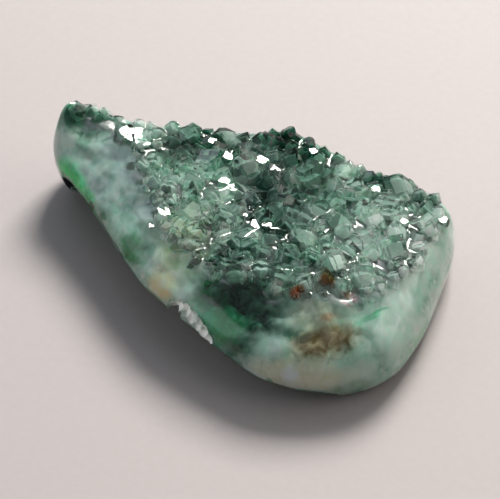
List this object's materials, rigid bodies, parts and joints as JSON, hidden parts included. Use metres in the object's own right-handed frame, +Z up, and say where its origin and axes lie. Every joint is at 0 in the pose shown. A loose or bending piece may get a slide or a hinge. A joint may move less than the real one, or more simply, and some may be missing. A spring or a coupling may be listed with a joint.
{
  "type": "gem silica freeform",
  "caption": "Drop-shaped polished freeform of green chalcedony, with a crust of clear quartz crystals on its top, a flat back to lie on and a natural hollow under one long edge.",
  "frame": {"origin": "middle of the stone's box seen from above, on the surface that its flat back lies on", "axes": "+X from the tail to the head, +Y away from the edge with the hollow, +Z up through the crust"},
  "size_m": [0.0278, 0.0174, 0.0062],
  "materials": {
    "stone": "polished flanks, natural crystal faces on top"
  },
  "bodies": {
    "root": {"stone": "stone"}
  },
  "joints": []
}
